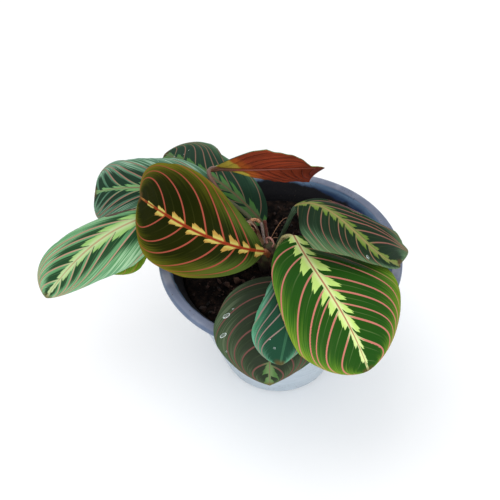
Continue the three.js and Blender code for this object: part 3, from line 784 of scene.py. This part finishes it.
def rod(name, at, radius_at, steps, sides):
    """A closed round rod along a curve, with its radius by the share of its way"""
    piece, share, around = shaped_grid(name, steps, sides)
    levels = np.linspace(0, 1, steps + 1)
    centres = at(levels)
    ahead = unit(np.gradient(centres, axis=0))
    normal = np.cross(ahead[0], [0.3, 0.9, 0.1])
    normals = []
    for direction in ahead:
        normal = unit(normal - direction * np.dot(normal, direction))
        normals.append(normal)
    normals = np.array(normals)
    sides_way = np.cross(ahead, normals)
    level = np.rint(share * steps).astype(int)
    angle = -2 * np.pi * around
    ring = normals[level] * np.cos(angle)[:, None] + sides_way[level] * np.sin(angle)[:, None]
    set_points(piece, centres[level] + ring * radius_at(share)[:, None])
    set_map(piece, "blade", (share * 100, around * 10))
    closed = (bpy.ops.mesh.fill_holes, {"sides": 0})
    outwards = (bpy.ops.mesh.normals_make_consistent, {"inside": False})
    worked_all_over(piece, MERGE_DOUBLES, closed, outwards)
    bpy.ops.object.shade_smooth()
    return piece


def upper_skin(name, leaf, seed):
    """The patterned upper face: feather along the midrib, dark blotches, coloured veins, fine stripes"""
    skin = Finish(name)
    label, v = skin.own_map("veins")
    place, side = skin.own_map("blade")
    strength, reach, gap, blotch = [skin.own_value(key) for key in ("strength", "feather", "gap", "blotch")]
    tints = leaf["tints"]
    length = rib_length(leaf)
    out, across = abs(v), abs(side)
    share = label % 1.0
    nearest = (0.5 - abs(share - 0.5)) * gap
    drift = skin.noise_over(label * 0.9 + seed, v * 2.2, 0.0, scale=1.6) - 0.5
    streak = skin.noise_over(label * 11.0, v * 1.3 + seed, 0.0)
    hair = skin.noise_over(label * 17.0, v * 1.4 + seed, 0.0, detail=1)
    cloud = skin.noise_over(place * 0.05, side * 0.05, seed, detail=3)

    # The feather has a block in each field between two laterals. It widens along the field and stops
    # short of the next vein, and its edge is cut into small lobes.
    block = share + drift * 0.16
    lobes = (block * 3.6 + out * 1.5) % 1.0
    full_reach = (0.45 + 1.1 * block).least(1.0) * (0.8 + 0.22 * lobes)
    ends, rest = leaf.get("feather_ends", 0.68), leaf.get("rest", 0.16)
    held_back = full_reach + (rest - full_reach) * block.step(ends, ends + 0.07)
    feather = (reach * held_back + drift - across).step(-0.25, 0.3)

    # Dark patches lie beyond the feather, soft at their ends, and the margin is the palest green.
    ragged = out + (streak - 0.5) * 0.55
    if leaf.get("wedges"):
        dark = (blotch * block.step(0.1, 0.5) - ragged).step(-0.12, 0.12)
    else:
        dark = (blotch - ragged).step(-0.28, 0.22)
    stripes = hair.step(0.48, 0.64) * ragged.step(0.1, 0.6) * leaf.get("stripes", 0.4)
    feather_colour = skin.layered(
        tints["feather"], (across.step(3.5, 0.6), tints["heart"]),
        (hair.step(0.5, 0.8) * 0.35, tints["heart"]),
    )

    # A lateral is a coloured core in a paler halo, and a fine vein runs halfway between two of them.
    fine_vein = abs(share - 0.5).step(0.035, 0.012) * out.step(0.5, 0.12) * leaf.get("fine_veins", 0.1)
    width = leaf.get("vein_width", 0.7) * (0.5 + 0.5 * strength) * (1 - 0.45 * out)
    shown = strength.step(0.05, 0.6) * (1 - 0.7 * out.step(leaf.get("vein_fade", 0.7), 0.98))
    halo = nearest.step(width + 0.12, width - 0.2) * shown
    core_width = width * across.step(-0.5, 7.0) * 0.9
    core = nearest.step(core_width + 0.1, core_width - 0.15) * shown
    pale = tints.get("vein_edge", tints["heart"])
    outer_pale = [0.4 * a + 0.6 * b for a, b in zip(pale, tints["vein"])]
    halo_colour = skin.mix(across.step(2.0, 9.0), pale, outer_pale)

    # The midrib is a line between pale edges. It thins towards the tip, and the tip itself is brown.
    rib_width = leaf.get("rib_width", 0.5) * (1 - 0.7 * place.step(0.55 * length, length))
    rib_pale = across.step(rib_width + 0.7, rib_width + 0.35)
    rib_line = across.step(rib_width + 0.1, rib_width - 0.15)
    tip = place.step(length - 4, length - 1) * across.step(5, 2)

    colour = skin.layered(
        tints["mid"], (cloud.step(0.3, 0.7) * 0.3, tints["margin"]),
        (ragged.step(0.66, 1.1), tints["margin"]),
        *([(place.step(52, 12) * 0.85, tints["base"])] if "base" in tints else []),
        (stripes, tints["stripe"]), (dark * 0.9, tints["dark"]), (feather, feather_colour),
        (fine_vein, tints["heart"]), (halo * 0.85, halo_colour), (core, tints["vein"]),
        (rib_pale * 0.6, pale), (rib_line, tints["rib"]), (tip * 0.7, (92, 70, 38)),
    )
    height = 0.35 * hair - halo * 0.8 - rib_line * 0.8 + streak * 0.3
    return skin.surface(
        Base_Color=colour, Roughness=0.4 + 0.12 * cloud + 0.08 * halo, Normal=skin.bump(height, 0.0002),
        Specular_IOR_Level=leaf.get("gloss", 0.05),
    )


def under_skin(name, leaf, seed):
    """The matt under face, with darker veins, and on one leaf a yellow patch at its base"""
    skin = Finish(name)
    label, v = skin.own_map("veins")
    place, side = skin.own_map("blade")
    nearest = 0.5 - abs(label % 1.0 - 0.5)
    hair = skin.noise_over(label * 20.0, v * 1.6 + seed, 0.0)
    cloud = skin.noise_over(place * 0.06, side * 0.06, seed, detail=3)
    under = leaf["tints"]["under"]
    colour = skin.layered(
        under, (cloud.step(0.35, 0.65), shaded(under, 1.15)),
        (hair.step(0.45, 0.8) * 0.5, shaded(under, 0.62)),
        (nearest.step(0.09, 0.03) * 0.75, shaded(under, 0.62)),
    )
    if "patch" in leaf["tints"]:
        fading = place + 9 * cloud + 0.5 * side
        patch = (fading.step(24.0, 21.0), leaf["tints"]["patch"])
        colour = skin.layered(colour, (fading.step(33.0, 26.0), (178, 92, 40)), patch)
    bump = skin.bump(nearest.step(0.1, 0.0) + hair * 0.3, 0.0003)
    return skin.surface(Base_Color=colour, Roughness=0.5, Normal=bump, Specular_IOR_Level=0.1)


def stalk_skin(name, leaf, seed):
    """The stalk's smooth ribbed skin, brown at its foot and like the under face beyond the joint"""
    skin = Finish(name)
    height = skin.split(skin.objects_own())[2]
    place, around = skin.own_map("blade")
    ribbing = skin.noise_over(place * 0.2, around * 1.6, seed)
    midrib = place.step(leaf["joint_at"] + 4, leaf["joint_at"] + 10)
    stalk_colour, under = leaf["tints"]["stalk"], leaf["tints"]["under"]
    colour = skin.layered(
        stalk_colour, (ribbing.step(0.3, 0.7), shaded(stalk_colour, 0.7)),
        (height.step(0.108, 0.094) * 0.6, (96, 60, 44)), (midrib * 0.8, under),
    )
    return skin.surface(Base_Color=colour, Roughness=0.5, Normal=skin.bump(ribbing, 0.0002))


def grow_blade(name, leaf, thickness, skins, rows=160, columns=56):
    """The blade on its own: upper and under face in their skins, and the values that the pattern needs"""
    piece, t, share = shaped_grid(name, rows, columns)
    v = 1 - 2 * share
    points, place, side = blade(leaf, t, v)
    set_points(piece, points)

    # gap is the width in millimetres of the field between two laterals, from steps along and across.
    label = vein_label(leaf, t, v)
    nudge = 0.002
    back, left = np.where(t > 0.99, -nudge, nudge), np.where(v > 0, -nudge, nudge)
    along_t = (blade(leaf, t + back, v)[0] - points) / back[:, None]
    along_v = (blade(leaf, t, v + left)[0] - points) / left[:, None]
    label_t = np.maximum((vein_label(leaf, t + back, v) - label) / back, 0.5)
    label_v = (vein_label(leaf, t, v + left) - label) / left
    vein_way = along_v - along_t * (label_v / label_t)[:, None]
    area = np.linalg.norm(np.cross(along_t, along_v), axis=1)
    gap = area / (label_t * np.maximum(np.linalg.norm(vein_way, axis=1), 1))

    # Each lateral has its strength, and each field its own share of the feather's reach.
    strength = np.empty(len(t))
    roughly = np.empty(len(t))
    for half, mask in (("left", v < 0), ("right", v >= 0)):
        count = len(leaf["veins_" + half])
        thin = leaf.get("thin_" + half, {})
        strengths = [thin.get(index, 1) for index in range(count)]
        beyond_ends = [0, 0.5, *range(1, count + 1), count + 0.5, count + 1]
        strengths = [0, strengths[0], *strengths, strengths[-1], 0]
        strength[mask] = np.interp(label[mask], beyond_ends, strengths)
        factors = chance.uniform(0.75, 1.2, count + 2)
        roughly[mask] = np.interp(label[mask], np.arange(count + 2) + 0.5, factors)
    set_values(piece, "strength", strength)
    set_values(piece, "feather", spread(leaf["feather"], place / rib_length(leaf)) * roughly)
    set_values(piece, "gap", np.clip(gap, 0.5, 30))
    set_values(piece, "blotch", spread(leaf["blotch"], t))
    set_map(piece, "veins", (label, v))
    set_map(piece, "blade", (place, side))
    worked_all_over(piece, MERGE_DOUBLES)
    for skin in skins:
        piece.data.materials.append(skin)
    apply_modifier(piece, "SOLIDIFY", {"thickness": thickness / 1000, "offset": 0, "material_offset": 1})
    bpy.ops.object.shade_smooth()
    return piece


BLADE_THICKNESS = 0.45
STALK_RADIUS = 1.45
JOINT_SWELL = 0.6
JOINT_LENGTH = 4
RIB_THINNING = 1.1
RIB_COVERED = 0.86
PLAIN_VEINS = 8
STATIONS = np.array([0.03, 0.12, 0.24, 0.38, 0.56, 0.74, 0.88])
for number, (name, leaf) in enumerate(LEAVES.items()):
    leaf["curve"] = rib_curve(leaf["rib"])
    for half in ("left", "right"):
        if "veins_" + half not in leaf:
            shift = chance.uniform(-0.012, 0.012, PLAIN_VEINS)
            leaf["veins_" + half] = list(0.07 + np.arange(PLAIN_VEINS) * VEIN_SPACING + shift)

    # The stalk runs on under the blade as its midrib, as far as the last station.
    on_rib = blade(leaf, STATIONS, np.zeros_like(STATIONS), quilt=0)[0]
    beside = blade(leaf, STATIONS, np.full_like(STATIONS, 0.02), quilt=0)[0] - on_rib
    over = unit(np.cross(beside, np.gradient(on_rib, axis=0)))
    underside = on_rib - over * (1.35 - STATIONS * 0.9)[:, None]
    at, whole = knotted_curve([*leaf["stalk"], *underside])
    rib_share = rib_length(leaf) * RIB_COVERED / whole
    leaf["joint_at"] = 100 * (1 - rib_share)
    skins = [
        skin(name + "_" + skin.__name__, leaf, number * 5.3)
        for skin in (upper_skin, under_skin, stalk_skin)
    ]
    blade_piece = grow_blade(name + "_leaf", leaf, BLADE_THICKNESS, skins)

    def stalk_radius(share, whole=whole, rib_share=rib_share):
        """Even up to the joint, which swells, and then thinner along the midrib"""
        before = (1 - rib_share - share) * whole
        beyond = np.clip((share - 1 + rib_share) / rib_share, 0, 1)
        joint = JOINT_SWELL * np.exp(-((before / JOINT_LENGTH - 1) ** 2))
        return STALK_RADIUS + joint - np.where(before > 0, 0, RIB_THINNING * np.sqrt(beyond))

    stalk = rod(name + "_stalk", at, stalk_radius, steps=60, sides=14)
    stalk.data.materials.append(skins[2])
    joined(name + "_leaf", [blade_piece, stalk])
    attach(blade_piece, "root")
    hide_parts(name)

# A dried sheath stands at the crown: the papery wrap that a young leaf has grown out of, cupped
# along its length and torn off at the top. It is tan outside and dark red inside.
SHEATH_THICKNESS = 0.3
sheath_form = dict(
    rib=[[-11, 4, 104], [-15, 7, 111], [-19, 9, 119], [-23, 8, 121]], face=[[-80, 20], [-60, 20]],
    width=5, left=[0.8, 1, 1.2], right=[0.8, 1, 1], fold=[30, 50], curl=[80, 110],
    veins_left=[0.2, 0.5, 0.8], veins_right=[0.2, 0.5, 0.8], feather=[1], blotch=[0],
)
sheath_form["curve"] = rib_curve(sheath_form["rib"])
paper = Finish("dry_tan_sheath")
sheath_place, sheath_side = paper.own_map("blade")
fibre = paper.noise_over(sheath_place * 0.25, sheath_side * 3.0, 0.0)
pale_top = (sheath_place + 3 * fibre).step(15.0, 18.0)
paper_colour = paper.layered(
    (166, 132, 96), (fibre.step(0.35, 0.7), (206, 180, 140)), (pale_top * 0.8, (236, 214, 188)),
)
paper_skin = paper.surface(Base_Color=paper_colour, Roughness=0.75, Normal=paper.bump(fibre, 0.0002))
lining = Finish("dark_red_lining")
lining_place, lining_side = lining.own_map("blade")
lining_fibre = lining.noise_over(lining_place * 0.3, lining_side * 3.0, 4.0)
lining_colour = lining.mix(lining_fibre.step(0.35, 0.7), (74, 24, 16), (134, 70, 44))
lining_skin = lining.surface(Base_Color=lining_colour, Roughness=0.7)
sheath_skins = [paper_skin, lining_skin]
sheath = grow_blade("dried_sheath", sheath_form, SHEATH_THICKNESS, sheath_skins, rows=40, columns=20)
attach(sheath, "root")
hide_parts("dry_sheath")

# Dry threads of root and shrivelled strips of old sheath stick out of the crown. They are as thin as
# twine, and each is a round rod that ends in the soil or in the crown. Each row gives the radius, the
# pale and the deep colour, and the points that the rod passes through.
DRY_STRIPS = {
    "root_thread_long": (0.24, (176, 132, 96), (120, 84, 60), [
        [-7.5, 7, 105], [-3, 15, 109.5], [1, 25, 107.5], [4, 33, 101], [6, 38, 89],
    ]),
    "root_thread_short": (0.22, (196, 150, 110), (130, 92, 64), [
        [-7, 5.5, 103], [-5, 8, 107], [-0.5, 10.5, 104], [3, 14, 97], [6, 18, 89],
    ]),
    "pale_curl": (0.75, (224, 178, 160), (170, 96, 84), [
        [-8, 1.5, 106], [-9.5, 3.5, 110], [-7, 2, 113], [-4.5, -1, 111], [-5.5, -1, 107],
    ]),
    "grey_strap": (1.0, (190, 176, 168), (120, 96, 88), [
        [-13.5, 14, 115], [-12.5, 12.5, 112], [-11.5, 10, 107], [-10, 6, 101],
    ]),
    "tan_curl": (1.5, (232, 178, 132), (140, 78, 52), [
        [-18, 8.5, 112], [-21, 10, 115], [-20, 11.5, 118.5], [-16.5, 12, 119.5], [-14, 12, 117],
    ]),
    "red_stub": (1.1, (120, 62, 44), (78, 42, 34), [
        [-11, 15, 116], [-10, 13, 111], [-9, 9, 105], [-8, 5, 99],
    ]),
}
for strip_name, (radius, pale, deep, knots) in DRY_STRIPS.items():

    def strip_radius(share, radius=radius):
        return radius * (1 - 0.35 * share * share + 0.1 * np.sin(share * 23))

    strip = rod(strip_name, knotted_curve(knots)[0], strip_radius, steps=36, sides=8)
    husk = Finish(strip_name + "_husk")
    husk_place, husk_around = husk.own_map("blade")
    husk_grain = husk.noise_over(husk_place * 0.3, husk_around * 0.8, 0.0)
    husk_colour = husk.mix(husk_grain.step(0.35, 0.65), pale, deep)
    strip.data.materials.append(husk.surface(
        Base_Color=husk_colour, Roughness=0.7, Normal=husk.bump(husk_grain, 0.0002),
    ))
    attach(strip, "root")
    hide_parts("crown")

# Drops of water stand on the blades after a misting: two long ones hang near the edge of the low
# front leaf and small round ones lie on others. Each is a low dome, near white and mostly clear, with a
# painted glint: a whiter, less clear ring round its edge. Each row gives its place along the
# midrib and across the blade, then half its length and half its width in millimetres.
DROPS = {
    "leaf_front_low": [
        (0.28, 0.62, 2.7, 1.3), (0.46, 0.7, 2.4, 1.1), (0.25, 0.52, 0.6, 0.5), (0.6, 0.8, 0.5, 0.5),
    ],
    "leaf_front_middle": [(0.87, 0.2, 0.8, 0.5), (0.8, 0.3, 0.4, 0.4)],
    "leaf_back_right": [(0.58, 0.65, 1.4, 0.8)],
    "leaf_back_long": [
        (0.94, -0.45, 0.6, 0.5), (0.88, 0.02, 0.7, 0.6), (0.81, 0.15, 0.5, 0.5), (0.8, 0.3, 0.4, 0.4),
    ],
    "leaf_upper_left": [(0.21, 0.78, 0.6, 0.5), (0.3, 0.7, 0.5, 0.4), (0.4, 0.6, 0.7, 0.4)],
}
DOME = 0.45
ABOVE_MIDDLE = 0.3
water_with_painted_glint = Finish("water_with_painted_glint")
ripples = water_with_painted_glint.noise(water_with_painted_glint.objects_own(), 800, detail=1)
# Painted glint: the water is tinted near white, and its edge ring is whiter and less clear.
water_glint_colour = water_with_painted_glint.mix(ripples, (214, 230, 226), (246, 252, 252))
painted_glint_ring = water_with_painted_glint.own_value("rise").step(0.75, 0.45)
water_skin = water_with_painted_glint.surface(Base_Color=water_glint_colour, Roughness=0.05, Alpha=0.1 + 0.5 * painted_glint_ring)
drop_model = added("drop", bpy.ops.mesh.primitive_ico_sphere_add, subdivisions=2, radius=0.001)
set_values(drop_model, "rise", [vertex.co.z * 1000 for vertex in drop_model.data.vertices])
for leaf_name, places in DROPS.items():
    drops = []
    for t, v, half_length, half_width in places:
        corner = np.array([t, t + 0.01, t]), np.array([v, v, v + 0.01])
        here, ahead, aside = blade(LEAVES[leaf_name], *corner)[0]
        over = Vector(np.cross(ahead - here, aside - here)).normalized()
        over = over if over.z > 0 else -over
        across = Vector(aside - here).normalized()
        axes = Matrix((across, over.cross(across), over)).transposed().to_4x4()
        spot = Matrix.Translation((Vector(here) + over * ABOVE_MIDDLE) / 1000)
        sizes = Matrix.Diagonal((half_length, half_width, DOME * half_width, 1))
        drop = copy_of(drop_model)
        drop.data.transform(spot @ axes @ sizes)
        drops.append(drop)
    wet = joined(leaf_name + "_drops", drops)
    wet.data.materials.append(water_skin)
    bpy.ops.object.shade_smooth()
    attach(wet, "root")
    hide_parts(leaf_name)
bpy.data.objects.remove(drop_model)
